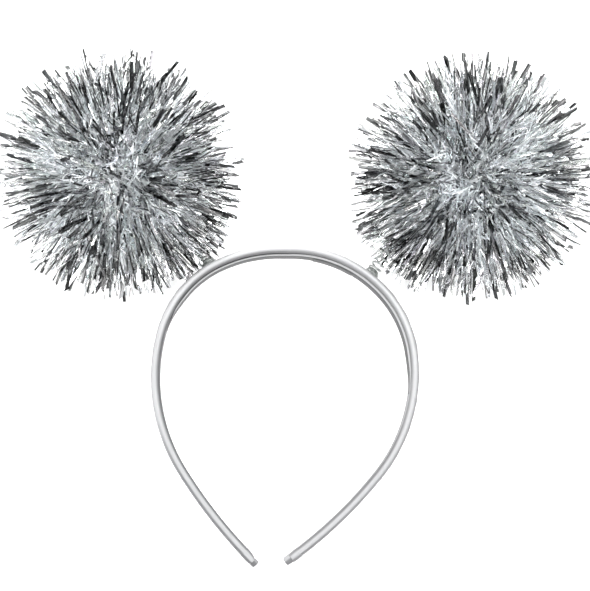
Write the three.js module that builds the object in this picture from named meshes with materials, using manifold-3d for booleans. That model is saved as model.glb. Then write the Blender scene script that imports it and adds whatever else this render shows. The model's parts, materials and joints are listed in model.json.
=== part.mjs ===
// Pompom headband: a cloth-covered springy band with a tinsel pompom on a coil spring at each side.
// Millimetres, +Z up. It lies as it would on a table, on both pompoms and the tips of the band.
// Every piece is first laid out flat: the middle of the band's crown is the origin, +X points to the
// right pompom, +Y away from the tips and +Z to the band's front edge. One group then leans that
// layout onto the table.
import * as THREE from 'three';
import { mergeVertices } from 'three/addons/utils/BufferGeometryUtils.js';
import Module from 'manifold-3d';

const wasm = await Module();
wasm.setup();

// Driving dimensions
const GAP = 0.3; // clearance between pieces that touch
const BAND = { thickness: 3.6, crownWidth: 13, tipWidth: 8, dome: 0.4, crownRun: 6, edgeFacets: 4 };
const TAPER_POWER = 1.4; // the strips keep their width near the crown and narrow faster towards the tips
// Tangent arcs of the band's middle line, from the straight crown down to each tip, sweep in degrees
const ARCS = {
  left: [
    { radius: 65.5, sweep: 25.3 },
    { radius: 49, sweep: 49 },
    { radius: 81, sweep: 47.6 },
    { radius: 231, sweep: 11.8 },
  ],
  right: [
    { radius: 58, sweep: 50 },
    { radius: 53, sweep: 36 },
    { radius: 75, sweep: 44 },
    { radius: 206, sweep: 14.5 },
  ],
};
const FACET = { sweep: 6, length: 14 }; // longest facet along the band, in degrees and in mm
const WRAP = { wall: 1, endRound: 0.8 };
// Bare core inside each end wrap
const TONGUE = { length: 5, thickness: BAND.thickness - 2 * (WRAP.wall + GAP) };
// The ribbon ends part of the way down each arm: ends are runs from the crown
const RIBBON = { thickness: 1, crownWidth: 8.4, tipWidth: 5.4, ends: { left: 74, right: 104 } };
const TAB = { start: 14, end: 34.5, thickness: 1, width: 6.6, facets: 5 }; // runs from the crown, right side
const SPRING = {
  coilDiameter: 6.6, wire: 0.8, length: 28, pitch: 3.5, bendLeg: 7,
  wireSides: 6, stepsPerTurn: 10, socketSides: 16,
};
const GLUE = { height: 3, shoulder: 1.7, topRadius: 1.3, sides: 10 };
const POMPOM = { headRadius: 44, headDetail: 2, restHeight: 53, y: 35.7 };
// Locks: a flat tapered blade each, lengths from the pompom's centre, cones in degrees from the spring
const LOCK = {
  count: 94, root: 36, shortest: 49, longest: 59.5, rootWidth: 14, tipWidth: 3.9, flatness: 0.4,
  bandReach: 54, bandCone: 45, springCone: 15,
};
// The two sides: place of the pompom's centre, run from the crown to the spring's seat, draw of lock lengths
const SIDES = [
  { name: 'left', sign: -1, pompomX: -78.5, seatRun: 36, seed: 11 },
  { name: 'right', sign: 1, pompomX: 90.4, seatRun: 42, seed: 47 },
];

const MATERIALS = {
  cloth: new THREE.MeshStandardMaterial({ color: 0xd3d4d6, roughness: 0.42, metalness: 0.35 }),
  ribbon: new THREE.MeshStandardMaterial({ color: 0xb9bbbe, roughness: 0.5, metalness: 0.3 }),
  wire: new THREE.MeshStandardMaterial({ color: 0xb4b8b6, roughness: 0.28, metalness: 0.95 }),
  glue: new THREE.MeshStandardMaterial({ color: 0xb9c4b8, roughness: 0.2, metalness: 0 }),
  tinsel: new THREE.MeshStandardMaterial({ color: 0xc6cacd, roughness: 0.2, metalness: 1 }),
};

const radians = THREE.MathUtils.degToRad;
const lerp = THREE.MathUtils.lerp;

// One place on the band's middle line: the point, the outward normal and the way on towards the tip
function station(side, x, y, heading, run) {
  return {
    run,
    point: new THREE.Vector3(side.sign * x, y, 0),
    outward: new THREE.Vector3(side.sign * Math.sin(heading), Math.cos(heading), 0),
    onward: new THREE.Vector3(side.sign * Math.cos(heading), -Math.sin(heading), 0),
  };
}

// The arcs of one side in order: where each starts, how long it is, and the station at any share of it
function arcWalks(side) {
  const walks = [];
  let x = BAND.crownRun / 2;
  let y = 0;
  let heading = 0;
  let run = x;
  for (const { radius, sweep } of ARCS[side.name]) {
    const centre = new THREE.Vector2(x - radius * Math.sin(heading), y - radius * Math.cos(heading));
    const start = { heading, run };
    const at = (share) => {
      const turned = start.heading + share * radians(sweep);
      const px = centre.x + radius * Math.sin(turned);
      const py = centre.y + radius * Math.cos(turned);
      return station(side, px, py, turned, start.run + share * radians(sweep) * radius);
    };
    walks.push({ sweep, startRun: run, length: radians(sweep) * radius, at });
    const last = at(1);
    x = Math.abs(last.point.x);
    y = last.point.y;
    heading += radians(sweep);
    run = last.run;
  }
  return walks;
}

function sideStations(side) {
  const list = [station(side, BAND.crownRun / 2, 0, 0, BAND.crownRun / 2)];
  for (const { sweep, length, at } of arcWalks(side)) {
    const steps = Math.ceil(Math.max(sweep / FACET.sweep, length / FACET.length));
    for (let k = 1; k <= steps; k++) {
      list.push(at(k / steps));
    }
  }
  return list;
}

function stationAt(side, run) {
  const walk = arcWalks(side).find(({ startRun, length }) => run <= startRun + length);
  return walk.at((run - walk.startRun) / walk.length);
}

function moved(place, distance) {
  return { ...place, point: place.point.clone().addScaledVector(place.onward, distance) };
}

// Width of a strip that narrows from the crown to the tips
function taper(sizes, run, tipRun) {
  return lerp(sizes.crownWidth, sizes.tipWidth, Math.pow(run / tipRun, TAPER_POWER));
}

// Closed section of a wrapped strip, flat inside, round at the edges and domed outside: x outward, y depth
function stripSection(thickness, width, dome) {
  const edge = thickness / 2;
  const centre = width / 2 - edge;
  const outline = [];
  for (const facing of [1, -1]) {
    for (let k = 0; k <= BAND.edgeFacets; k++) {
      const angle = Math.PI * (k / BAND.edgeFacets - 0.5);
      const depth = centre + edge * Math.cos(angle);
      outline.push(new THREE.Vector2(facing * edge * Math.sin(angle), facing * depth));
    }
    if (facing === 1) {
      outline.push(new THREE.Vector2(edge + dome, 0));
    }
  }
  return outline;
}

function boxSection(inner, outer, width) {
  return [
    new THREE.Vector2(inner, -width / 2),
    new THREE.Vector2(inner, width / 2),
    new THREE.Vector2(outer, width / 2),
    new THREE.Vector2(outer, -width / 2),
  ];
}

function ring(place, section) {
  return section.map((p) => {
    return place.point.clone().addScaledVector(place.outward, p.x).add(new THREE.Vector3(0, 0, p.y));
  });
}

function shrunk(section, by) {
  return section.map((p) => {
    return new THREE.Vector2(p.x - Math.sign(p.x) * Math.min(by, Math.abs(p.x)), p.y - Math.sign(p.y) * by);
  });
}

// Skin over a row of like rings, closed by a fan at both ends, with its faces pointing out
function loft(rings) {
  const sides = rings[0].length;
  const positions = rings.flat();
  const triangles = [];
  for (let r = 0; r + 1 < rings.length; r++) {
    for (let k = 0; k < sides; k++) {
      const a = r * sides + k;
      const b = r * sides + (k + 1) % sides;
      triangles.push([a, b, b + sides], [a, b + sides, a + sides]);
    }
  }
  const lastRing = (rings.length - 1) * sides;
  for (let k = 1; k + 1 < sides; k++) {
    triangles.push([0, k + 1, k], [lastRing, lastRing + k, lastRing + k + 1]);
  }
  const volume = triangles.reduce((sum, [a, b, c]) => {
    return sum + positions[a].dot(positions[b].clone().cross(positions[c]));
  }, 0);
  const facesOut = volume > 0 ? triangles : triangles.map(([a, b, c]) => [a, c, b]);
  const geometry = new THREE.BufferGeometry().setFromPoints(positions);
  geometry.setIndex(facesOut.flat());
  return geometry;
}

function toSolid(geometry) {
  const bare = geometry.clone();
  bare.deleteAttribute('normal');
  bare.deleteAttribute('uv');
  const merged = mergeVertices(bare);
  const vertProperties = new Float32Array(merged.attributes.position.array);
  const triVerts = new Uint32Array(merged.index.array);
  return new wasm.Manifold(new wasm.Mesh({ numProp: 3, vertProperties, triVerts }));
}

function toGeometry(solid) {
  const mesh = solid.getMesh();
  const geometry = new THREE.BufferGeometry();
  geometry.setAttribute('position', new THREE.BufferAttribute(mesh.vertProperties, 3));
  geometry.setIndex(new THREE.BufferAttribute(mesh.triVerts, 1));
  return geometry;
}

function named(name, geometry, material) {
  const mesh = new THREE.Mesh(geometry, material);
  mesh.name = name;
  return mesh;
}

function turnFromY(direction) {
  return new THREE.Quaternion().setFromUnitVectors(new THREE.Vector3(0, 1, 0), direction);
}

const stations = Object.fromEntries(SIDES.map((side) => [side.name, sideStations(side)]));

function tipOf(side) {
  return stations[side.name].at(-1);
}

// All stations from the left tip over the crown to the right tip
function wholeLine() {
  return [...stations.left.toReversed(), ...stations.right];
}

function tipRunNear(place) {
  return tipOf(place.point.x < 0 ? SIDES[0] : SIDES[1]).run;
}

// The covered band with a tongue of bare core at each end
function headband() {
  const tongueWidth = BAND.tipWidth - BAND.thickness + TONGUE.thickness;
  const tongue = stripSection(TONGUE.thickness, tongueWidth, 0);
  const rings = wholeLine().map((place) => {
    const width = taper(BAND, place.run, tipRunNear(place));
    return ring(place, stripSection(BAND.thickness, width, BAND.dome));
  });
  const [left, right] = SIDES.map((side) => {
    return [ring(tipOf(side), tongue), ring(moved(tipOf(side), TONGUE.length), tongue)];
  });
  return loft([left[1], left[0], ...rings, right[0], right[1]]);
}

// Cup of folded cloth over a tongue, level with the band's cover
function tipWrap(side) {
  const tip = tipOf(side);
  const outside = stripSection(BAND.thickness, BAND.tipWidth, BAND.dome);
  const hollowWidth = BAND.tipWidth - 2 * WRAP.wall;
  const inside = stripSection(BAND.thickness - 2 * WRAP.wall, hollowWidth, 0);
  const mouth = moved(tip, GAP);
  const floor = moved(tip, TONGUE.length + GAP);
  const end = moved(tip, TONGUE.length + GAP + WRAP.wall);
  const shoulder = moved(tip, TONGUE.length + GAP + WRAP.wall - WRAP.endRound);
  return loft([
    ring(floor, inside),
    ring(mouth, inside),
    ring(mouth, outside),
    ring(shoulder, outside),
    ring(end, shrunk(outside, WRAP.endRound)),
  ]);
}

const ribbonOuter = -(BAND.thickness / 2 + GAP);
const ribbonInner = ribbonOuter - RIBBON.thickness;

function innerRibbon() {
  const [left, right] = SIDES.map((side) => {
    const end = RIBBON.ends[side.name];
    const before = stations[side.name].filter((place) => place.run < end - RIBBON.thickness);
    return [...before, stationAt(side, end)];
  });
  return loft([...left.toReversed(), ...right].map((place) => {
    const width = taper(RIBBON, place.run, tipRunNear(place));
    return ring(place, boxSection(ribbonInner, ribbonOuter, width));
  }));
}

function ribbonTab() {
  const outer = ribbonInner - GAP;
  const section = boxSection(outer - TAB.thickness, outer, TAB.width);
  const places = [];
  for (let k = 0; k <= TAB.facets; k++) {
    places.push(stationAt(SIDES[1], lerp(TAB.start, TAB.end, k / TAB.facets)));
  }
  return loft(places.map((place) => ring(place, section)));
}

// Where a spring stands, and its axis: off the band, round one bend, then straight into the pompom
function springLine(side) {
  const place = stationAt(side, side.seatRun);
  const rise = BAND.thickness / 2 + BAND.dome + GAP;
  const seat = place.point.clone().addScaledVector(place.outward, rise);
  const bend = seat.clone().addScaledVector(place.outward, SPRING.bendLeg);
  const centre = new THREE.Vector3(side.pompomX, POMPOM.y, 0);
  const towardsBand = bend.clone().sub(centre).normalize();
  const endRadius = bend.distanceTo(centre) - (SPRING.length - SPRING.bendLeg);
  const end = centre.clone().addScaledVector(towardsBand, endRadius);
  const straight = bend.clone().addScaledVector(towardsBand, -SPRING.bendLeg);
  const axis = new THREE.CurvePath();
  axis.add(new THREE.QuadraticBezierCurve3(seat, bend, straight));
  axis.add(new THREE.LineCurve3(straight, end));
  return { seat, outward: place.outward, axis, centre, towardsBand, endRadius };
}

class Coil extends THREE.Curve {
  constructor(axis) {
    super();
    this.axis = axis;
    this.turns = SPRING.length / SPRING.pitch;
  }

  getPoint(t, target = new THREE.Vector3()) {
    const radius = (SPRING.coilDiameter - SPRING.wire) / 2;
    const inset = SPRING.wire / 2 / SPRING.length;
    const share = lerp(inset, 1 - inset, t);
    const forward = this.axis.getTangent(share);
    const across = new THREE.Vector3(-forward.y, forward.x, 0);
    const angle = 2 * Math.PI * this.turns * t;
    target.copy(this.axis.getPoint(share)).addScaledVector(across, radius * Math.cos(angle));
    return target.add(new THREE.Vector3(0, 0, radius * Math.sin(angle)));
  }
}

function spring(side) {
  const coil = new Coil(springLine(side).axis);
  const wire = new THREE.Shape();
  for (let k = 0; k < SPRING.wireSides; k++) {
    const angle = 2 * Math.PI * k / SPRING.wireSides;
    const corner = [SPRING.wire / 2 * Math.cos(angle), SPRING.wire / 2 * Math.sin(angle)];
    if (k === 0) {
      wire.moveTo(...corner);
    } else {
      wire.lineTo(...corner);
    }
  }
  const steps = Math.round(coil.turns * SPRING.stepsPerTurn);
  return new THREE.ExtrudeGeometry(wire, { steps, bevelEnabled: false, extrudePath: coil });
}

// Plug of clear glue inside the spring's first turn
function glue(side) {
  const radius = SPRING.coilDiameter / 2 - SPRING.wire - GAP;
  const profile = [
    new THREE.Vector2(0, 0),
    new THREE.Vector2(radius, 0),
    new THREE.Vector2(radius, GLUE.shoulder),
    new THREE.Vector2(GLUE.topRadius, GLUE.height),
    new THREE.Vector2(0, GLUE.height),
  ];
  const geometry = new THREE.LatheGeometry(profile, GLUE.sides);
  const { seat, outward } = springLine(side);
  const mesh = named(`glue_${side.name}`, geometry, MATERIALS.glue);
  mesh.quaternion.copy(turnFromY(outward));
  mesh.position.copy(seat);
  return mesh;
}

// Angle that brings the pompoms' lowest locks and the back edges of the tips to one table
function restLean() {
  const tipEnd = moved(tipOf(SIDES[0]), TONGUE.length + GAP + WRAP.wall);
  const rise = POMPOM.y - tipEnd.point.y;
  const backEdge = BAND.tipWidth / 2;
  return Math.asin(POMPOM.restHeight / Math.hypot(rise, backEdge)) - Math.atan2(backEdge, rise);
}

const lean = restLean();
const down = new THREE.Vector3(0, -Math.sin(lean), -Math.cos(lean));

// Evenly spread directions, the first ones round the lowest point
function lockDirections() {
  const goldenAngle = Math.PI * (3 - Math.sqrt(5));
  const toTable = new THREE.Quaternion().setFromUnitVectors(new THREE.Vector3(0, 0, -1), down);
  return Array.from({ length: LOCK.count }, (_, k) => {
    const depth = 1 - (2 * k + 1) / LOCK.count;
    const radius = Math.sqrt(1 - depth * depth);
    const angle = k * goldenAngle;
    const upright = new THREE.Vector3(radius * Math.cos(angle), radius * Math.sin(angle), -depth);
    return upright.applyQuaternion(toTable);
  });
}

// One flat tapered lock of strips, from inside the head to its tip
function lock(direction, length, twist) {
  const ends = [[LOCK.root, LOCK.rootWidth], [length, LOCK.tipWidth]];
  const rings = ends.map(([height, width]) => {
    const half = LOCK.flatness * width / 2;
    return boxSection(-half, half, width).map((p) => new THREE.Vector3(p.x, height, p.y));
  });
  return loft(rings).rotateY(twist).applyQuaternion(turnFromY(direction));
}

// Round head with locks all round it and a socket for the spring's end; no lock crosses the spring
function pompom(side) {
  const { centre, towardsBand, endRadius } = springLine(side);
  THREE.MathUtils.seededRandom(side.seed);
  let ball = toSolid(new THREE.IcosahedronGeometry(POMPOM.headRadius, POMPOM.headDetail));
  for (const direction of lockDirections()) {
    let length = lerp(LOCK.shortest, LOCK.longest, THREE.MathUtils.seededRandom());
    const twist = Math.PI * THREE.MathUtils.seededRandom();
    const bandAngle = direction.angleTo(towardsBand);
    if (bandAngle < radians(LOCK.springCone)) {
      continue;
    }
    if (bandAngle < radians(LOCK.bandCone)) {
      length = Math.min(length, LOCK.bandReach);
    }
    const fall = direction.dot(down);
    if (fall > 0) {
      const cornerDrop = LOCK.tipWidth / 2 * Math.sqrt(1 - fall * fall);
      length = Math.min(length, (POMPOM.restHeight - cornerDrop) / fall);
    }
    ball = ball.add(toSolid(lock(direction, length, twist)));
  }
  const depth = POMPOM.headRadius - endRadius + GAP;
  const boreRadius = SPRING.coilDiameter / 2 + GAP;
  const bore = new THREE.CylinderGeometry(boreRadius, boreRadius, 2 * depth, SPRING.socketSides);
  bore.applyQuaternion(turnFromY(towardsBand));
  bore.translate(...towardsBand.clone().multiplyScalar(POMPOM.headRadius).toArray());
  const mesh = named(`pompom_${side.name}`, toGeometry(ball.subtract(toSolid(bore))), MATERIALS.tinsel);
  mesh.position.copy(centre);
  return mesh;
}

const flat = new THREE.Group();
flat.add(named('headband', headband(), MATERIALS.cloth));
flat.add(named('inner_ribbon', innerRibbon(), MATERIALS.ribbon));
flat.add(named('ribbon_tab', ribbonTab(), MATERIALS.ribbon));
for (const side of SIDES) {
  flat.add(named(`tip_wrap_${side.name}`, tipWrap(side), MATERIALS.cloth));
  flat.add(named(`spring_${side.name}`, spring(side), MATERIALS.wire));
  flat.add(glue(side));
  flat.add(pompom(side));
}
flat.rotation.x = lean;

// The table is at z = 0, and the origin is under the middle of the whole
const part = new THREE.Group();
part.add(flat);
part.updateMatrixWorld(true);
const box = new THREE.Box3().setFromObject(part, true);
const middle = box.getCenter(new THREE.Vector3());
flat.position.set(-middle.x, -middle.y, -box.min.z);

export default part;
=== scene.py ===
"""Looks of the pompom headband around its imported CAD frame.

Shapes are laid out in millimetres in the band's own flat frame, as in the CAD source: the middle of the
crown is the origin, +X points to the right pompom, +Y away from the tips, +Z to the band's front edge.
"""

import json
import math

import bmesh
import bpy
import numpy as np
from mathutils import Matrix, Vector


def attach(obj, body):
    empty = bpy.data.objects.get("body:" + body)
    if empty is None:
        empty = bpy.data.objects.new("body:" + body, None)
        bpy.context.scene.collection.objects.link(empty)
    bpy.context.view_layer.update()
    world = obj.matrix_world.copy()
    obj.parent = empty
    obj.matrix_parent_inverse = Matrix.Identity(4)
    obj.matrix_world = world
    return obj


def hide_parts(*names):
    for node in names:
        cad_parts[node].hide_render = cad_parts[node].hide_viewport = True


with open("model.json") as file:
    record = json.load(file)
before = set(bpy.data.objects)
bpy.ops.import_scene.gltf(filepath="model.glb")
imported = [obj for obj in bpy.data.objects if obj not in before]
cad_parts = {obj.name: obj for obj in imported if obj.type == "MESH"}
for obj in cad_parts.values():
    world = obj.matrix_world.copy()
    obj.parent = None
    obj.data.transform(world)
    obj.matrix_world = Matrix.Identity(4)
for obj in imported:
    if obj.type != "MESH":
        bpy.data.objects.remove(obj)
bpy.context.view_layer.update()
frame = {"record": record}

MM = 0.001
BODY = "root"

# The CAD source's own sizes, in millimetres
GAP = 0.3
BAND = {"thickness": 3.6, "crown_width": 13.0, "tip_width": 8.0, "dome": 0.4, "half_crown": 3.0}
TAPER_POWER = 1.4
ARCS = {
    "left": ((65.5, 25.3), (49.0, 49.0), (81.0, 47.6), (231.0, 11.8)),
    "right": ((58.0, 50.0), (53.0, 36.0), (75.0, 44.0), (206.0, 14.5)),
}
SIGN = {"left": -1.0, "right": 1.0}
POMPOM_X = {"left": -78.5, "right": 90.4}
POMPOM_Y = 35.7
SEAT_RUN = {"left": 36.0, "right": 42.0}
RIBBON = {"thickness": 1.0, "crown_width": 8.4, "tip_width": 5.4, "left": 74.0, "right": 104.0}
TAB = {"start": 14.0, "end": 34.5, "width": 6.6}
SPRING = {"coil": 6.6, "wire": 0.8, "length": 28.0, "pitch": 3.5, "bend_leg": 7.0}
GLUE_HEIGHT = 3.2

# Seeds of what is uneven, on each side and for each use
SEED = {"left": 11, "right": 84}
SEED_STEP = {"strips": 0, "wrap": 100, "glue": 200, "tufts": 300}

# The flat frame in the row, from the crown's mount, which sits on the ribbon's inner face
MOUNT_DEPTH = BAND["thickness"] / 2 + GAP + RIBBON["thickness"]
mount = next(m for m in frame["record"]["mounts"] if m["name"] == "crown_seat")
mount_axis = np.array(mount["axis"], float)
mount_axis /= np.linalg.norm(mount_axis)
BASIS = np.stack([[1.0, 0.0, 0.0], -mount_axis, np.cross([1.0, 0.0, 0.0], -mount_axis)])
CROWN = np.array(mount["pos_m"], float) - mount_axis * MOUNT_DEPTH * MM
UP = BASIS[:, 2]  # the table's normal, in the flat frame


def to_row(points):
    """Flat millimetres to row metres."""
    return CROWN + np.asarray(points, float) @ BASIS * MM


def height(points):
    """Millimetres above the table."""
    return CROWN[2] / MM + points @ UP


def unit(vectors):
    return vectors / np.linalg.norm(vectors, axis=-1, keepdims=True)


def smooth_step(low, high, values):
    share = np.clip((values - low) / (high - low), 0, 1)
    return share * share * (3 - 2 * share)


def random(side, use):
    return np.random.default_rng(SEED[side] + SEED_STEP[use])


# The band's middle line: runs along it are negative on the left side, positive on the right

def side_of(run):
    return "left" if run < 0 else "right"


def tip_run(side):
    return BAND["half_crown"] + sum(math.radians(sweep) * radius for radius, sweep in ARCS[side])


def walk(side, run):
    """Place and heading on one side's middle line, at that run from the crown."""
    flat_run = min(run, BAND["half_crown"])
    x, y, heading = flat_run, 0.0, 0.0
    left = run - flat_run
    for radius, sweep in ARCS[side]:
        turn = min(left / radius, math.radians(sweep))
        x += radius * (math.sin(heading + turn) - math.sin(heading))
        y += radius * (math.cos(heading + turn) - math.cos(heading))
        heading += turn
        left -= turn * radius
    x += math.cos(heading) * left
    y -= math.sin(heading) * left
    return SIGN[side] * x, y, heading


def station(run):
    """Point and outward direction at a run."""
    side = side_of(run)
    x, y, heading = walk(side, abs(run))
    return np.array([x, y, 0.0]), np.array([SIGN[side] * math.sin(heading), math.cos(heading), 0.0])


def width_at(sizes, run):
    share = min(abs(run) / tip_run(side_of(run)), 1.0)
    return sizes["crown_width"] + (sizes["tip_width"] - sizes["crown_width"]) * share ** TAPER_POWER


# Mesh helpers

def new_piece(name, points, faces, material, slot, *nodes, smooth=True):
    """A mesh piece in the row frame that stands for CAD nodes and rides on the part's one body."""
    mesh = bpy.data.meshes.new(name)
    mesh.from_pydata(to_row(points), [], faces)
    work = bmesh.new()
    work.from_mesh(mesh)
    bmesh.ops.recalc_face_normals(work, faces=work.faces)
    work.to_mesh(mesh)
    work.free()
    mesh.polygons.foreach_set("use_smooth", [smooth] * len(mesh.polygons))
    mesh.materials.append(material)
    piece = bpy.data.objects.new(name, mesh)
    bpy.context.scene.collection.objects.link(piece)
    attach(piece, BODY)
    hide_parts(*nodes)
    return piece


def store(piece, name, kind, key, values):
    """Keeps a value for each vertex, which the piece's material reads by that name."""
    layer = piece.data.attributes.new(name, kind, "POINT")
    layer.data.foreach_set(key, np.array(values, np.float32).ravel())


def loft_faces(rings, sides):
    """Quads over rings of vertices, with a face at each end."""
    faces = []
    for r in range(rings - 1):
        for k in range(sides):
            a = r * sides + k
            b = r * sides + (k + 1) % sides
            faces.append((a, b, b + sides, a + sides))
    last = (rings - 1) * sides
    faces.append(tuple(range(sides - 1, -1, -1)))
    faces.append(tuple(range(last, last + sides)))
    return faces


def length_along(points):
    """Length from the first point to each point of a polyline."""
    steps = np.linalg.norm(np.diff(points, axis=0), axis=1)
    return np.concatenate([[0.0], np.cumsum(steps)])


def strip_section(thickness, width, dome, edge_steps=10, face_steps=8):
    """Wrapped strip as (outward, depth) points, from the middle of its flat inside once round."""
    edge = thickness / 2
    centre = width / 2 - edge
    points = []
    for k in range(face_steps // 2):
        points.append((-edge, centre * k / (face_steps // 2)))
    for k in range(edge_steps + 1):
        angle = math.pi * (k / edge_steps - 0.5)
        points.append((edge * math.sin(angle), centre + edge * math.cos(angle)))
    for k in range(1, face_steps):
        depth = centre * (1 - 2 * k / face_steps)
        points.append((edge + dome * (1 - (depth / centre) ** 2), depth))
    for k in range(edge_steps + 1):
        angle = math.pi * (0.5 - k / edge_steps)
        points.append((edge * math.sin(angle), -centre - edge * math.cos(angle)))
    for k in range(1, face_steps // 2):
        points.append((-edge, -centre * (1 - k / (face_steps // 2))))
    return np.array(points)


CORNER_STEPS = 3


def flat_section(inner, outer, width, corner):
    """Ribbon with rounded edges as (outward, depth) points, from the middle of its outer face once round."""
    points = [(outer, 0.0)]
    turns = ((outer, 1, 0.0), (inner, 1, 0.5), (inner, -1, 1.0), (outer, -1, 1.5))
    for face, facing, start in turns:
        middle_n = face + (corner if face == inner else -corner)
        middle_z = facing * (width / 2 - corner)
        for k in range(CORNER_STEPS + 1):
            angle = math.pi * (start + 0.5 * k / CORNER_STEPS)
            points.append((middle_n + corner * math.cos(angle), middle_z + corner * math.sin(angle)))
        if face == inner and facing == 1:
            points.append((inner, 0.0))
    return np.array(points)


def swept_cloth(name, runs, section_at, shade_at, material, slot, node):
    """A piece lofted over sections along the band's line. It keeps each vertex's place on the cloth in
    millimetres, for the weave, and its share of the cloth's second tone, which on the cover is mostly painted
    shade and on the ribbons a lighter edge that is partly a painted highlight."""
    points, places, shades = [], [], []
    for run in runs:
        place, outward = station(run)
        section = section_at(run)
        count = len(section)
        points.append(place + section[:, :1] * outward + section[:, 1:] * [[0.0, 0.0, 1.0]])
        places.append(np.column_stack([np.full(count, run), length_along(section), np.zeros(count)]))
        shades.append(shade_at(section, run))
    faces = loft_faces(len(runs), len(points[0]))
    piece = new_piece(name, np.concatenate(points), faces, material, slot, node)
    store(piece, "cloth", "FLOAT_VECTOR", "vector", np.concatenate(places))
    store(piece, "shade", "FLOAT", "value", np.concatenate(shades))


# Painted shade on the cover, standing in for how the light falls on it: dark towards its inside, along a line
# near its outside and on its broad outer face, and a least shade that grows from the crown down the arms.
# Places are in millimetres outward from the band's middle
INNER_PAINTED_SHADE_START = -1.55  # from here the inner dark fades
OUTER_PAINTED_SHADE = {"left": (0.5, 1.35), "right": (0.1, 1.05)}  # between these the outer dark comes in
FACE_PAINTED_SHADE_SPAN = (1.65, 1.85)  # between these the outer face begins
FACE_PAINTED_SHADE = 0.55
# Along each side: (run, least painted shade, place where the inner painted shade has gone, shares of inner
# and of outer painted shade)
COVER_PAINTED_SHADE = {
    "left": (
        (0.0, 0.0, 0.4, 0.86, 0.1), (40.0, 0.0, 0.1, 0.9, 0.1), (56.0, 0.02, -0.2, 0.93, 0.05),
        (66.0, 0.12, 0.0, 0.94, 0.05), (78.0, 0.28, 0.9, 1.0, 0.1), (92.0, 0.3, 1.3, 0.97, 0.2),
        (102.0, 0.3, 1.0, 1.0, 0.3), (114.0, 0.32, 0.7, 1.0, 0.45), (130.0, 0.38, 0.1, 0.98, 0.82),
        (150.0, 0.42, 0.2, 0.98, 0.93), (190.0, 0.44, 0.1, 0.98, 0.97),
    ),
    "right": (
        (0.0, 0.0, 0.5, 0.84, 0.15), (30.0, 0.15, 0.5, 0.78, 0.4), (54.0, 0.05, 0.2, 0.76, 0.45),
        (66.0, 0.12, -0.2, 0.68, 0.5), (78.0, 0.2, -0.3, 0.66, 0.72), (102.0, 0.3, -0.2, 0.66, 0.72),
        (126.0, 0.36, -0.2, 0.84, 0.76), (150.0, 0.42, -0.1, 0.92, 0.8), (197.0, 0.44, -0.2, 0.9, 0.9),
    ),
}


def painted_cover_shade(section, run):
    """Share of painted shade, the cloth's dark tone, at each point of a section."""
    side = side_of(run)
    tones = np.array(COVER_PAINTED_SHADE[side])
    least, inner_end, inner, outer = (np.interp(abs(run), tones[:, 0], tones[:, k]) for k in (1, 2, 3, 4))
    painted_inner = inner * (1 - smooth_step(INNER_PAINTED_SHADE_START, inner_end, section[:, 0]))
    painted_outer = outer * smooth_step(*OUTER_PAINTED_SHADE[side], section[:, 0])
    painted_face = FACE_PAINTED_SHADE * smooth_step(*FACE_PAINTED_SHADE_SPAN, section[:, 0])
    return np.maximum.reduce([np.full(len(section), least), painted_inner, painted_outer, painted_face])


# Materials

class Shader:
    """A node material with short names for the nodes that the surfaces below use."""

    def __init__(self, name):
        self.material = bpy.data.materials.new(name)
        self.material.use_nodes = True
        self.tree = self.material.node_tree
        self.surface = self.tree.nodes["Principled BSDF"]

    def set(self, **values):
        for name, value in values.items():
            title = name.replace("_", " ").title().replace("Ior", "IOR")
            self.surface.inputs[title].default_value = value

    def node(self, kind, inputs=None, **settings):
        made = self.tree.nodes.new(kind)
        for name, value in settings.items():
            setattr(made, name, value)
        for name, value in (inputs or {}).items():
            socket = made.inputs[name]
            if isinstance(value, bpy.types.NodeSocket):
                self.tree.links.new(value, socket)
            else:
                socket.default_value = value
        return made

    def link(self, output, name):
        self.tree.links.new(output, self.surface.inputs[name])

    def attribute(self, name, output="Vector"):
        return self.node("ShaderNodeAttribute", attribute_name=name).outputs[output]

    def scaled(self, vector, scale):
        return self.node("ShaderNodeMapping", {"Vector": vector, "Scale": scale}).outputs["Vector"]

    def object_place(self):
        return self.node("ShaderNodeTexCoord").outputs["Object"]

    def noise(self, vector, scale, detail):
        made = self.node("ShaderNodeTexNoise", {"Vector": vector, "Scale": scale, "Detail": detail})
        return made.outputs["Fac"]

    def wave(self, vector, scale, axis, distortion):
        made = self.node(
            "ShaderNodeTexWave",
            {"Vector": vector, "Scale": scale, "Distortion": distortion},
            bands_direction=axis,
        )
        return made.outputs["Fac"]

    def math(self, operation, first, second):
        return self.node("ShaderNodeMath", {0: first, 1: second}, operation=operation).outputs[0]

    def ramp(self, factor, low, high):
        """From one colour to another."""
        made = self.node("ShaderNodeMix", {"Factor": factor}, data_type="RGBA")
        made.inputs["A"].default_value = (*low, 1.0)
        made.inputs["B"].default_value = (*high, 1.0)
        return made.outputs["Result"]

    def blend(self, factor, first, second):
        """From one node's colour to another's."""
        made = self.node("ShaderNodeMix", {"Factor": factor}, data_type="RGBA")
        self.tree.links.new(first, made.inputs["A"])
        self.tree.links.new(second, made.inputs["B"])
        return made.outputs["Result"]

    def spread(self, factor, low, high):
        """From one number to another."""
        limits = {"Value": factor, "To Min": low, "To Max": high}
        return self.node("ShaderNodeMapRange", limits).outputs["Result"]

    def bump(self, amount, depth, strength):
        made = self.node("ShaderNodeBump", {"Height": amount, "Distance": depth, "Strength": strength})
        self.link(made.outputs["Normal"], "Normal")


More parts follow.
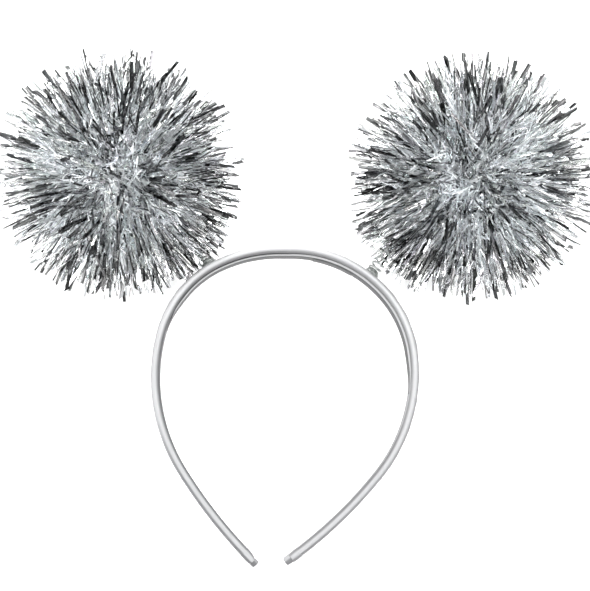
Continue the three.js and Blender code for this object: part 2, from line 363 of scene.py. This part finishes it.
def cover_cloth():
    made = Shader("cover_cloth")
    place = made.attribute("cloth")
    floats = made.noise(made.scaled(place, (0.25, 3.2, 1.0)), 1.0, 4.0)
    broad = made.noise(made.scaled(place, (0.08, 0.3, 1.0)), 1.0, 2.0)
    warp = made.wave(place, 0.42, "Y", 0.6)
    weft = made.wave(place, 0.36, "X", 0.6)
    weave = made.math("MULTIPLY", warp, weft)
    # The shade attribute blends the cloth's tone into a near-black dark tone, which is painted shade
    light = made.ramp(floats, (0.37, 0.37, 0.374), (0.45, 0.45, 0.455))
    dark = made.ramp(floats, (0.05, 0.05, 0.052), (0.08, 0.08, 0.083))
    made.link(made.blend(made.attribute("shade", "Fac"), light, dark), "Base Color")
    made.link(made.spread(broad, 0.36, 0.50), "Roughness")
    made.bump(made.math("ADD", weave, floats), 0.00005, 0.5)
    made.set(metallic=0.05, specular_ior_level=0.25)
    return made.material


FACE_BLUE = 1.02  # blue over grey in a ribbon's face
EDGE_BLUE = 1.01


def ribbon_cloth(name, rib, face, edge, rough):
    """Ribbed ribbon whose near-black face is painted shade and whose lighter edge is partly its woven
    selvedge and partly a painted highlight. Face and edge are (low, high) greys.
    """
    made = Shader(name)
    place = made.attribute("cloth")
    ribs = made.wave(place, rib, "X", 0.3)
    speckle = made.noise(made.scaled(place, (2.2, 2.2, 1.0)), 1.0, 5.0)
    inner = made.ramp(speckle, *[(grey, grey, grey * FACE_BLUE) for grey in face])
    outer = made.ramp(speckle, *[(grey, grey, grey * EDGE_BLUE) for grey in edge])
    made.link(made.blend(made.attribute("shade", "Fac"), inner, outer), "Base Color")
    made.link(made.spread(speckle, rough - 0.08, rough + 0.1), "Roughness")
    made.bump(made.math("ADD", ribs, speckle), 0.0001, 0.6)
    made.set(specular_ior_level=0.2)
    return made.material


def spring_wire():
    made = Shader("spring_wire")
    drawn = made.noise(made.object_place(), 900.0, 4.0)
    made.link(made.ramp(drawn, (0.28, 0.295, 0.285), (0.42, 0.44, 0.425)), "Base Color")
    made.link(made.spread(drawn, 0.22, 0.42), "Roughness")
    made.set(metallic=1.0)
    return made.material


def clear_glue():
    made = Shader("clear_glue")
    cloud = made.noise(made.object_place(), 500.0, 3.0)
    made.link(made.ramp(cloud, (0.20, 0.215, 0.205), (0.31, 0.325, 0.315)), "Base Color")
    made.link(made.spread(cloud, 0.12, 0.3), "Roughness")
    made.bump(cloud, 0.0003, 0.4)
    made.set(transmission_weight=0.55, ior=1.48)
    return made.material


def tinsel_film(name, metallic):
    made = Shader(name)
    crinkle = made.noise(made.object_place(), 380.0, 2.0)
    made.link(made.attribute("tint", "Color"), "Base Color")
    made.link(made.attribute("dull", "Fac"), "Roughness")
    made.bump(crinkle, 0.0004, 0.12)
    made.set(metallic=metallic)
    return made.material


cloth = cover_cloth()
# The ribbon's near-black face and the tab's dark greys are painted shade
ribbon = ribbon_cloth("ribbon", 0.5, (0.025, 0.06), (0.26, 0.36), 0.5)
plain_tab = ribbon_cloth("ribbon_tab_cloth", 0.9, (0.015, 0.1), (0.03, 0.15), 0.5)
wire = spring_wire()
hot_glue = clear_glue()
film = tinsel_film("tinsel_film", 1.0)
soft_film = tinsel_film("tinsel_soft_film", 0.0)

# Band

BAND_STEP = 0.8
BAND_SEED = 5
PUCKER_DEPTH = 0.035
PUCKER_SPAN = 7  # steps over which the cover's puckers are smoothed
SMOOTH_INSIDE = -0.6  # further in, and this near the middle of its width, the cover has no puckers
SMOOTH_MIDDLE = 1.0
FULL_ARM = 0.15  # by which the cover is fuller on each face of the lower arms
FULL_OUTSIDE = (40.0, 75.0)  # runs between which that comes in on the outside
FULL_INSIDE = 10.0  # on the inside it comes in this far before and after the ribbon's end

left_tip, right_tip = tip_run("left"), tip_run("right")
band_runs = np.linspace(-left_tip, right_tip, int((left_tip + right_tip) / BAND_STEP))
pucker_draws = np.random.default_rng(BAND_SEED).normal(0.0, 1.0, len(band_runs) + PUCKER_SPAN - 1)
pucker = np.convolve(pucker_draws, np.hanning(PUCKER_SPAN), "valid")


def fuller(section, run):
    """The section, grown on its outside down the arms, and on its inside below the ribbon."""
    ribbon_end = RIBBON[side_of(run)]
    outside = FULL_ARM * smooth_step(*FULL_OUTSIDE, abs(run))
    inside = FULL_ARM * smooth_step(ribbon_end - FULL_INSIDE, ribbon_end + FULL_INSIDE, abs(run))
    half = BAND["thickness"] / 2
    grown = section[:, 0] / half * np.where(section[:, 0] > 0, outside, inside)
    return np.column_stack([section[:, 0] + grown, section[:, 1]])


def band_section(run):
    section = strip_section(BAND["thickness"], width_at(BAND, run), BAND["dome"])
    wave = PUCKER_DEPTH * np.interp(run, band_runs, pucker)
    wave = np.where(section[:, 0] < SMOOTH_INSIDE, 0.0, wave)
    section[:, 0] += wave * (np.abs(section[:, 1]) > SMOOTH_MIDDLE)
    return fuller(section, run)


swept_cloth("band_cover", band_runs, band_section, painted_cover_shade, cloth, "cover_cloth", "headband")

# Ribbon along the inside, and the tab over its joint

RIBBON_FILM = 1.25  # from the band's inside to the ribbon's
RIBBON_THIN = 20.0  # length at each end over which it thins out
RIBBON_END = 0.12  # share of its thickness at the very end
RIBBON_CORNER = 0.3  # radius of its corners, as a share of its thickness
RIBBON_SUNK = 0.05  # into the cover, so that no slit shows
TAB_FILM = 0.45
TAB_CORNER = 0.25
TAB_STEPS = 30
# A ribbon's lighter edge is partly its woven selvedge and partly a painted highlight
EDGE_TONE = (0.93, 0.99)  # shares of the half width between which a ribbon's face turns into its edge
# Millimetres off the band at which the edge comes out of the painted shade by the seam, at runs along the
# ribbon: further left, less of the edge's painted highlight shows
PAINTED_SEAM_SHADE = ((-40.0, 0.4), (0.0, 0.25), (40.0, 0.0))
SEAM_SOFT = 0.2
ribbon_outer = -BAND["thickness"] / 2
ribbon_inner = ribbon_outer - RIBBON_FILM
ribbon_steps = int((RIBBON["left"] + RIBBON["right"]) / BAND_STEP)
ribbon_runs = np.linspace(-RIBBON["left"], RIBBON["right"], ribbon_steps)
tab_runs = np.linspace(TAB["start"], TAB["end"], TAB_STEPS)


def ribbon_section(run):
    to_end = min(run + RIBBON["left"], RIBBON["right"] - run)
    thick = RIBBON_FILM * (RIBBON_END + (1 - RIBBON_END) * smooth_step(0.0, RIBBON_THIN, to_end))
    width = width_at(RIBBON, run)
    return flat_section(ribbon_outer - thick, ribbon_outer + RIBBON_SUNK, width, RIBBON_CORNER * thick)


def tab_section(run):
    return flat_section(ribbon_inner - TAB_FILM, ribbon_inner, TAB["width"], TAB_CORNER)


def selvedge_and_painted_light(section, run):
    """Share of the ribbon's lighter edge tone at each point of a section, partly selvedge and partly painted
    highlight, with painted shade by the seam.
    """
    across = np.abs(section[:, 1])
    seam = np.interp(run, *zip(*PAINTED_SEAM_SHADE))
    clear_of_painted_shade = smooth_step(seam, seam + SEAM_SOFT, ribbon_outer - section[:, 0])
    return smooth_step(*EDGE_TONE, across / across.max()) * clear_of_painted_shade


swept_cloth("liner_ribbon", ribbon_runs, ribbon_section, selvedge_and_painted_light, ribbon, "ribbon", "inner_ribbon")
swept_cloth("joint_tab", tab_runs, tab_section, selvedge_and_painted_light, plain_tab, "ribbon", "ribbon_tab")

# End wraps

# Along a wrap, in millimetres past the band's end: (place, its inside and outside in shares of the band's
# half thickness, scale of its width)
WRAP_PROFILE = {
    "left": (
        (-1.2, -1.0, 1.0, 1.0), (-1.1, -1.03, 1.03, 1.03), (-0.6, -1.04, 1.06, 1.04),
        (0.3, -1.02, 1.06, 1.02), (1.4, -0.98, 1.05, 0.98), (2.6, -0.90, 1.03, 0.94),
        (3.6, -0.77, 0.99, 0.88), (4.3, -0.62, 0.92, 0.82), (4.5, -0.58, 0.84, 0.78),
        (4.7, -0.70, 0.90, 0.78), (4.9, -0.76, 0.94, 0.79), (6.5, -0.74, 0.90, 0.76),
        (6.75, -0.66, 0.84, 0.72), (6.8, -0.4, 0.6, 0.6),
    ),
    "right": (
        (-1.2, -1.0, 1.0, 1.0), (-1.1, -1.03, 1.03, 1.03), (-0.6, -1.04, 1.06, 1.04),
        (0.3, -1.02, 1.06, 1.02), (1.4, -1.0, 1.04, 1.0), (2.4, -0.97, 1.0, 0.97),
        (3.3, -0.90, 0.93, 0.92), (3.5, -0.96, 0.90, 0.9), (3.8, -1.08, 0.90, 0.9),
        (5.0, -1.08, 0.88, 0.88), (6.2, -1.0, 0.84, 0.84), (6.6, -0.92, 0.78, 0.8),
        (6.8, -0.8, 0.7, 0.76), (6.85, -0.5, 0.4, 0.6),
    ),
}
WRAP_STEPS = 60
WRAP_CREASE = 0.05
WRAP_CREASED = (0.5, 4.0)  # past the band's end, between which the creases come in
FOLDED_END = {"left": 4.7, "right": 3.6}  # from here on the cloth's folded end shows
END_SHADE = {"left": (0.72, 0.95), "right": (0.5, 0.92)}  # of the folded end's inner and outer half
# Painted shadow in the crease just before each folded end
CREASE_REACH = 0.45  # length before the folded end that lies in its crease
PAINTED_CREASE_SHADOW = 0.9


def end_wrap(side):
    """Cloth gathered over a tip: a lapped mouth, a narrowing neck and a small, square, creased folded end."""
    rng = random(side, "wrap")
    profile = np.array(WRAP_PROFILE[side])
    offsets = np.linspace(profile[0, 0], profile[-1, 0], WRAP_STEPS)
    base = strip_section(BAND["thickness"], BAND["tip_width"], BAND["dome"], edge_steps=8, face_steps=6)
    folds = np.cumsum(rng.normal(0, 1, (2, len(base))), axis=1)
    folds -= np.linspace(0, 1, len(base)) * folds[:, -1:]
    folds = (folds - folds.mean(1, keepdims=True)) / folds.std(1, keepdims=True)
    runs = SIGN[side] * (tip_run(side) + offsets)

    def past_end(run):
        return abs(run) - tip_run(side)

    def section_at(run):
        offset = past_end(run)
        inside, outside, wide = (np.interp(offset, profile[:, 0], profile[:, k]) for k in (1, 2, 3))
        crease = WRAP_CREASE * smooth_step(*WRAP_CREASED, offset) * folds[int(offset > FOLDED_END[side])]
        section = fuller(base * (1 + crease[:, None]), run)
        outward = np.where(section[:, 0] < 0, -inside, outside) * section[:, 0]
        return np.column_stack([outward, section[:, 1] * wide])

    def shade_at(section, run):
        inner, outer = END_SHADE[side]
        offset = past_end(run) - FOLDED_END[side]
        if offset > 0:
            return np.where(base[:, 0] < 0, inner, outer)
        # painted shadow in the crease before the folded end
        crease = PAINTED_CREASE_SHADOW * smooth_step(-CREASE_REACH, 0.0, offset)
        return np.maximum(painted_cover_shade(base, run), crease)

    swept_cloth(f"end_wrap_{side}", runs, section_at, shade_at, cloth, "cover_cloth", f"tip_wrap_{side}")


for side in SIGN:
    end_wrap(side)

# Springs and glue

SEAT_PITCH = 0.55  # of the mean pitch: the coil is closest at the band
AXIS_STEPS = 60
WIRE_STEPS = 28  # in one turn
WIRE_SIDES = 10
WIRE_START = (0.3, 0.5, 0.81)  # any direction that the wire does not start in
TAIL_STEPS = 14
TAIL_END = 3.0  # from the pompom's centre
GLUE_SIDES = 28
GLUE_RINGS = 12
GLUE_SUNK = 0.25  # into the cover
GLUE_REACH = 3.6  # radius at the foot
GLUE_RISE = 1.3  # powers that shape the drop's side
GLUE_ROUND = 0.55
GLUE_TOP = 0.03
LOBE_DEPTH = 0.12
LOBE_SPAN = 9  # sides over which the foot's lobes are smoothed


def spring_axis(side):
    """Dense points on a spring's axis, its seat, the way out of the band there, the pompom's centre, and the
    way from there to the band."""
    place, outward = station(SIGN[side] * SEAT_RUN[side])
    seat = place + outward * (BAND["thickness"] / 2 + BAND["dome"] + GAP)
    bend = seat + outward * SPRING["bend_leg"]
    centre = np.array([POMPOM_X[side], POMPOM_Y, 0.0])
    to_band = unit(bend - centre)
    straight = bend - to_band * SPRING["bend_leg"]
    end = bend - to_band * (SPRING["length"] - SPRING["bend_leg"])
    share = np.linspace(0, 1, AXIS_STEPS)[:, None]
    curve = seat * (1 - share) ** 2 + 2 * bend * share * (1 - share) + straight * share ** 2
    axis = np.concatenate([curve, straight + (end - straight) * share[1:]])
    return axis, seat, outward, centre, to_band


def on_line(line, shares):
    """Points and tangents at shares of a polyline's length."""
    lengths = length_along(line)
    at = np.stack([np.interp(shares * lengths[-1], lengths, line[:, k]) for k in range(3)], 1)
    return at, unit(np.gradient(at, axis=0))


def round_wire(path):
    """Points and faces of the spring's wire along a path."""
    tangent = unit(np.gradient(path, axis=0))
    across = np.cross(tangent[0], WIRE_START)
    angles = np.linspace(0, 2 * math.pi, WIRE_SIDES, endpoint=False)[:, None]
    radius = SPRING["wire"] / 2
    rings = []
    for point, forward in zip(path, tangent):
        across = unit(across - forward * (across @ forward))
        other = np.cross(forward, across)
        rings.append(point + radius * (np.cos(angles) * across + np.sin(angles) * other))
    return np.concatenate(rings), loft_faces(len(path), WIRE_SIDES)


def coil_spring(side):
    axis, _, _, centre, to_band = spring_axis(side)
    turns = SPRING["length"] / SPRING["pitch"]
    steps = np.linspace(0, 1, int(turns * WIRE_STEPS))
    inset = SPRING["wire"] / 2 / SPRING["length"]
    along = steps * (SEAT_PITCH + (1 - SEAT_PITCH) * steps)
    at, forward = on_line(axis, inset + along * (1 - 2 * inset))
    across = np.stack([-forward[:, 1], forward[:, 0], np.zeros(len(at))], 1)
    radius = (SPRING["coil"] - SPRING["wire"]) / 2
    angle = 2 * math.pi * turns * steps
    path = at + radius * (np.cos(angle)[:, None] * across + np.sin(angle)[:, None] * [[0.0, 0.0, 1.0]])
    tail = np.linspace(0, 1, TAIL_STEPS)[1:, None]
    inner = centre + to_band * TAIL_END
    path = np.concatenate([path, path[-1] + (inner - path[-1]) * tail])
    points, faces = round_wire(path)
    new_piece(f"wire_spring_{side}", points, faces, wire, "spring_wire", f"spring_{side}")


def glue_dab(side):
    """Set drop of glue over the spring's first turn, uneven round its foot."""
    _, seat, outward, _, _ = spring_axis(side)
    onward = np.cross([0.0, 0.0, 1.0], outward)
    foot = seat - outward * (GAP + GLUE_SUNK)
    window = np.hanning(LOBE_SPAN)
    draws = np.tile(random(side, "glue").normal(0, 1, GLUE_SIDES), 3)
    lobes = np.convolve(draws, window / window.sum(), "same")[GLUE_SIDES:2 * GLUE_SIDES]
    points = []
    for r in range(GLUE_RINGS):
        share = r / (GLUE_RINGS - 1)
        rise = GLUE_HEIGHT * math.sin(share * math.pi / 2) ** GLUE_RISE
        reach = GLUE_REACH * max(math.cos(share * math.pi / 2), GLUE_TOP) ** GLUE_ROUND
        for k in range(GLUE_SIDES):
            angle = 2 * math.pi * k / GLUE_SIDES
            spread = reach * (1 + LOBE_DEPTH * lobes[k] * (1 - share))
            sideways = onward * spread * math.cos(angle)
            points.append(foot + outward * rise + sideways + np.array([0.0, 0.0, spread * math.sin(angle)]))
    faces = loft_faces(GLUE_RINGS, GLUE_SIDES)
    new_piece(f"glue_dab_{side}", np.array(points), faces, hot_glue, "clear_glue", f"glue_{side}")


for side in SIGN:
    coil_spring(side)
    glue_dab(side)

# Pompoms of film strips

LONGEST_STRIP = 61.0
FULLER = {"left": 0.0, "right": 1.2}  # added to every strip's length
# Kinds of flat strip: the imported core, whose strips lie flat, a dense nap that stands on it, rays, folded
# along their middle, that stand out of both, longer and wider rays that end the ball, and more rays close
# round the spring. Count is over the whole ball, of which within keeps what lies that many degrees from the
# spring. Root and tip are distances from the pompom's centre as (mean, spread). Tuft is how far strips are
# drawn together. Lean is in degrees between root and tip from the centre, sway in millimetres off a straight
# line, roll in radians about the strip's length, or any where it is None. Width, rough and tint are (least,
# most), and fold is the height of the fold in widths. Dark, mirror and kinked are the shares of dim,
# mirror-like and bent strips
# The dim strips stand in for dark reflections at the rim and, in the core, for shade deep between the strips:
# painted reflection and painted shade
CORE = {
    "count": 6500, "segments": 1, "root": (36.0, 1.2), "tip": (36.6, 1.2), "within": 180.0, "tuft": 0.0,
    "lean": 10.0, "sway": 0.0, "kinked": 0.0, "roll": 0.4, "width": (1.0, 1.8), "fold": None,
    "rough": (0.15, 0.4), "tint": (0.8, 1.0), "hue": (0.975, 1.0, 1.02), "dark": 0.42, "mirror": 0.6,
}
NAP = {
    "count": 15000, "segments": 2, "root": (33.0, 1.5), "tip": (42.0, 3.3), "within": 180.0, "tuft": 0.0,
    "lean": 12.0, "sway": 1.2, "kinked": 0.0, "roll": None, "width": (0.3, 0.6), "fold": None,
    "rough": (0.12, 0.4), "tint": (0.92, 1.0), "hue": (0.975, 1.0, 1.02), "dark": 0.02, "mirror": 0.45,
}
RAYS = {
    "count": 3400, "segments": 4, "root": (30.0, 3.0), "tip": (50.5, 3.5), "within": 180.0, "tuft": 0.1,
    "lean": 10.0, "sway": 0.8, "kinked": 0.04, "roll": None, "width": (0.5, 1.2), "fold": 0.16,
    "rough": (0.06, 0.2), "tint": (0.84, 1.0), "hue": (0.995, 1.0, 1.0), "dark": 0.27, "mirror": 1.0,
}
LONG_RAYS = RAYS | {
    "count": 1400, "tip": (56.2, 2.8), "tuft": 0.3, "sway": 0.4, "kinked": 0.0, "width": (1.4, 2.0),
    "dark": 0.45,
}
SPRING_RAYS = RAYS | {"count": 3600, "tip": (57.5, 2.0), "width": (1.15, 1.7), "within": 24.0, "tuft": 0.0}
TUFTS = 160
# tint of the dim strips, painted dark reflections and painted shade
PAINTED_DARK_TINT = (0.05, 0.28)
HUE_SPREAD = 0.012
GOLDEN_TURN = math.pi * (3 - math.sqrt(5))  # between one strip and the next, which spreads them evenly
WAY_SPREAD = 0.04
KINK = 7.0
DROOP = (0.2, 1.2)  # by which the tips of level strips hang
TWIST = 0.5  # radians from root to tip
SLANT = 0.45  # of the cut at the tip
TABLE_CLEAR = 0.7  # strips that meet the table lie on it
TABLE_SOFT = 1.4
LOWEST = 0.06
SPRING_CONE = 4.5  # degrees round the spring that hold no strips
BAND_CLEAR = 0.7
BAND_INSIDE = 6.0  # depth of the band and its ribbon, inward from the band's middle line
BAND_PAST = 4.0  # square millimetres past the ends of that line
BAND_SEARCH = 2.0
SEARCH_CHUNK = 4000
SEARCH_STEPS = 40  # places along a strip where it may meet the band

line_runs = np.arange(-left_tip, right_tip, 1.0)
band_line = [station(run) for run in line_runs]
line_points = np.array([p for p, _ in band_line])
line_outward = np.array([o for _, o in band_line])
line_half = np.array([width_at(BAND, run) / 2 for run in line_runs])


def inside_band(points):
    """Whether points lie in the band, its ribbon or the space just round them."""
    flat_points = points.reshape(-1, 3)
    inside = np.zeros(len(flat_points), bool)
    deep = np.abs(flat_points[:, 2]) < BAND["crown_width"] / 2 + BAND_SEARCH
    near = np.nonzero(deep & (flat_points[:, 1] < BAND["thickness"]))[0]
    for chunk in np.array_split(near, max(1, len(near) // SEARCH_CHUNK)):
        apart = flat_points[chunk, None, :2] - line_points[None, :, :2]
        index = (apart ** 2).sum(-1).argmin(1)
        offset = apart[np.arange(len(chunk)), index]
        outward = (offset * line_outward[index, :2]).sum(1)
        past = np.abs((offset ** 2).sum(1) - outward ** 2)
        level = (outward < BAND["thickness"] / 2 + BAND["dome"] + BAND_CLEAR) & (outward > -BAND_INSIDE)
        within = np.abs(flat_points[chunk, 2]) < line_half[index] + BAND_CLEAR
        inside[chunk] = level & within & (past < BAND_PAST)
    return inside.reshape(points.shape[:-1])


def tufted(side, way, share):
    """Directions drawn together by that share into the pompom's tufts."""
    middles = unit(random(side, "tufts").normal(0, 1, (TUFTS, 3)))
    nearest = middles[(way @ middles.T).argmax(1)]
    return unit(way + (nearest - way) * share)


def strip_lines(side, rng, kind):
    """A function that gives every strip's points at shares of its length, and a way across each strip."""
    _, _, _, centre, to_band = spring_axis(side)
    order = np.arange(kind["count"]) + 0.5
    rise = 1 - 2 * order / kind["count"]
    turn = GOLDEN_TURN * order
    ring = np.sqrt(1 - rise ** 2)
    way = np.stack([ring * np.cos(turn), ring * np.sin(turn), rise], 1)
    way = unit(way + rng.normal(0, WAY_SPREAD, way.shape))
    bare, covered = np.cos(np.radians([SPRING_CONE, kind["within"]]))
    way = way[(way @ to_band < bare) & (way @ to_band >= covered)]
    way = tufted(side, way, kind["tuft"])
    count = len(way)
    length = np.minimum(rng.normal(*kind["tip"], count) + FULLER[side], LONGEST_STRIP)
    first = unit(np.cross(way, unit(rng.normal(0, 1, way.shape))))
    second = np.cross(way, first)
    lean = np.radians(rng.normal(0, kind["lean"], count))[:, None]
    root_way = way * np.cos(lean) + second * np.sin(lean)
    root = root_way * rng.normal(*kind["root"], count)[:, None]
    tip = way * length[:, None]
    kinked = np.where(rng.random(count) < kind["kinked"], rng.uniform(-KINK, KINK, count), 0.0)
    pull = (root + tip) / 2 + first * (rng.normal(0, kind["sway"], count) + kinked)[:, None]
    droop = rng.uniform(*DROOP, count) * (1 - (way @ UP) ** 2)

    def at(shares):
        shares = np.broadcast_to(shares, (count, shares.shape[-1]))[..., None]
        line = root[:, None] * (1 - shares) ** 2 + 2 * pull[:, None] * shares * (1 - shares)
        line = centre + line + tip[:, None] * shares ** 2 - UP * droop[:, None, None] * shares ** 2
        above = height(line) - TABLE_CLEAR
        lifted = np.logaddexp(0.0, above * TABLE_SOFT) / TABLE_SOFT
        return line + UP * (lifted - above)[..., None]

    return at, first


def strips(side, rng, kind):
    """Each strip's rows of points across its stops, as (strip, stop, place across, xyz), its colour and
    roughness, and whether its film is soft."""
    at, first = strip_lines(side, rng, kind)
    fine = np.linspace(0.0, 1.0, SEARCH_STEPS)
    hit = inside_band(at(fine[None]))
    reach = np.where(hit.any(1), fine[np.maximum(hit.argmax(1) - 1, 0)], 1.0)
    shares = np.linspace(0, 1, kind["segments"] + 1)
    line = at(shares[None] * reach[:, None])
    count = len(line)
    tangent = unit(np.gradient(line, axis=1))
    across = unit(first[:, None] - tangent * (first[:, None] * tangent).sum(-1, keepdims=True))
    other = np.cross(tangent, across)
    roll = rng.normal(0, kind["roll"], count) if kind["roll"] else rng.uniform(0, 2 * math.pi, count)
    roll = roll[:, None] + rng.normal(0, TWIST, count)[:, None] * shares
    wide = across * np.cos(roll)[..., None] + other * np.sin(roll)[..., None]
    width = rng.uniform(*kind["width"], count)[:, None, None]
    slant = tangent * rng.normal(0, SLANT, count)[:, None, None] * (shares == 1.0)[None, :, None]
    edges = [line - wide * width / 2 - slant, line + wide * width / 2 + slant]
    if kind["fold"]:
        edges.insert(1, line + np.cross(tangent, wide) * width * kind["fold"])
    rows = np.stack(edges, 2)
    rows += UP * np.maximum(LOWEST - height(rows), 0.0)[..., None]
    # dim strips: painted dark reflections and painted shade between strips
    dim = rng.random(count) < kind["dark"]
    bright = np.where(dim, rng.uniform(*PAINTED_DARK_TINT, count), rng.uniform(*kind["tint"], count))[:, None]
    hue = rng.normal(0, HUE_SPREAD, (count, 3)) + np.array(kind["hue"])
    look = np.column_stack([np.clip(bright * hue, 0, 1), rng.uniform(*kind["rough"], count)])
    return rows, look, rng.random(count) >= kind["mirror"]


def strip_faces(rows, start):
    """Quads over each strip's rows of points."""
    count, stops, points = rows.shape[:3]
    corner = start + np.arange(count * stops * points).reshape(count, stops, points)
    quads = [corner[:, :-1, :-1], corner[:, :-1, 1:], corner[:, 1:, 1:], corner[:, 1:, :-1]]
    return np.stack(quads, -1).reshape(-1, 4)


def pompom(side):
    rng = random(side, "strips")
    points, faces, looks, slots = [], [], [], []
    start = 0
    for kind in (RAYS, LONG_RAYS, SPRING_RAYS, NAP, CORE):
        rows, look, soft = strips(side, rng, kind)
        points.append(rows.reshape(-1, 3))
        faces.append(strip_faces(rows, start))
        looks.append(np.repeat(look, rows.shape[1] * rows.shape[2], axis=0))
        slots.append(np.repeat(soft, len(faces[-1]) // len(rows)))
        start += len(points[-1])
    points = np.concatenate(points)
    faces = np.concatenate(faces).tolist()
    looks = np.concatenate(looks)
    piece = new_piece(
        f"tinsel_pompom_{side}", points, faces, film, "tinsel_film", f"pompom_{side}", smooth=False
    )
    piece.data.materials.append(soft_film)
    piece.data.polygons.foreach_set("material_index", np.concatenate(slots).astype(np.int32))
    store(piece, "tint", "FLOAT_COLOR", "color", np.column_stack([looks[:, :3], np.ones(len(looks))]))
    store(piece, "dull", "FLOAT", "value", looks[:, 3])


for side in SIGN:
    pompom(side)

# Floor, light and camera

FLOOR_SIZE = 15.0
floor_mesh = bpy.data.meshes.new("floor")
floor_mesh.from_pydata(
    [(x * FLOOR_SIZE, y * FLOOR_SIZE, 0.0) for x, y in ((-1, -1), (1, -1), (1, 1), (-1, 1))],
    [], [(0, 1, 2, 3)],
)
floor_look = Shader("floor_paper")
grain = floor_look.noise(floor_look.object_place(), 60.0, 4.0)
floor_look.link(floor_look.ramp(grain, (0.69, 0.69, 0.69), (0.71, 0.71, 0.71)), "Base Color")
floor_look.set(roughness=0.9, emission_color=(1.0, 1.0, 1.0, 1.0), emission_strength=0.4)
floor_mesh.materials.append(floor_look.material)
floor = bpy.data.objects.new("floor", floor_mesh)
bpy.context.scene.collection.objects.link(floor)


def soft_box(name, place, aim, size, power):
    """A rectangular studio light."""
    lamp = bpy.data.lights.new(name, "AREA")
    lamp.shape = "RECTANGLE"
    lamp.size, lamp.size_y = size
    lamp.energy = power
    made = bpy.data.objects.new(name, lamp)
    made.location = place
    made.rotation_euler = (Vector(aim) - Vector(place)).to_track_quat("-Z", "Y").to_euler()
    bpy.context.scene.collection.objects.link(made)


AIM = (0.0, 0.03, 0.04)
SIDE_BOX = (0.8, 0.4)
soft_box("light_over", (0.0, 0.1, 1.2), AIM, (1.5, 1.4), 20.0)
soft_box("light_right", (1.1, 0.1, 0.7), AIM, SIDE_BOX, 10.0)
soft_box("light_left", (-1.1, 0.1, 0.7), AIM, SIDE_BOX, 10.0)
soft_box("light_back", (0.0, 1.2, 0.7), AIM, SIDE_BOX, 24.0)
soft_box("light_front", (0.0, -1.0, 0.7), AIM, SIDE_BOX, 13.0)

world = bpy.data.worlds.new("studio")
world.use_nodes = True
bpy.context.scene.world = world
sky = world.node_tree.nodes["Background"]
sky.inputs["Color"].default_value = (0.95, 0.98, 1.0, 1.0)
sky.inputs["Strength"].default_value = 0.65
bpy.context.scene.view_settings.view_transform = "Standard"
bpy.context.scene.cycles.max_bounces = 16
bpy.context.scene.cycles.glossy_bounces = 14
bpy.context.scene.cycles.diffuse_bounces = 10

CAMERA_AT = np.array([-33.53, -109.2, 560.0])
CAMERA_AIM = np.array([4.47, -21.2, 0.0])
CAMERA_LENS = 73.75
forward = unit((CAMERA_AIM - CAMERA_AT) @ BASIS)
right = unit(np.array([1.0, 0.0, 0.0]) - forward * forward[0])
upward = np.cross(right, forward)
camera = bpy.data.objects.new("camera", bpy.data.cameras.new("camera"))
camera.data.lens = CAMERA_LENS
camera.data.sensor_width = 36.0
camera.data.sensor_fit = "HORIZONTAL"
camera.data.clip_start = 0.01
camera.matrix_world = Matrix.Translation(to_row(CAMERA_AT)) @ Matrix(
    np.stack([right, upward, -forward], 1).tolist()
).to_4x4()
bpy.context.scene.collection.objects.link(camera)
bpy.context.scene.camera = camera
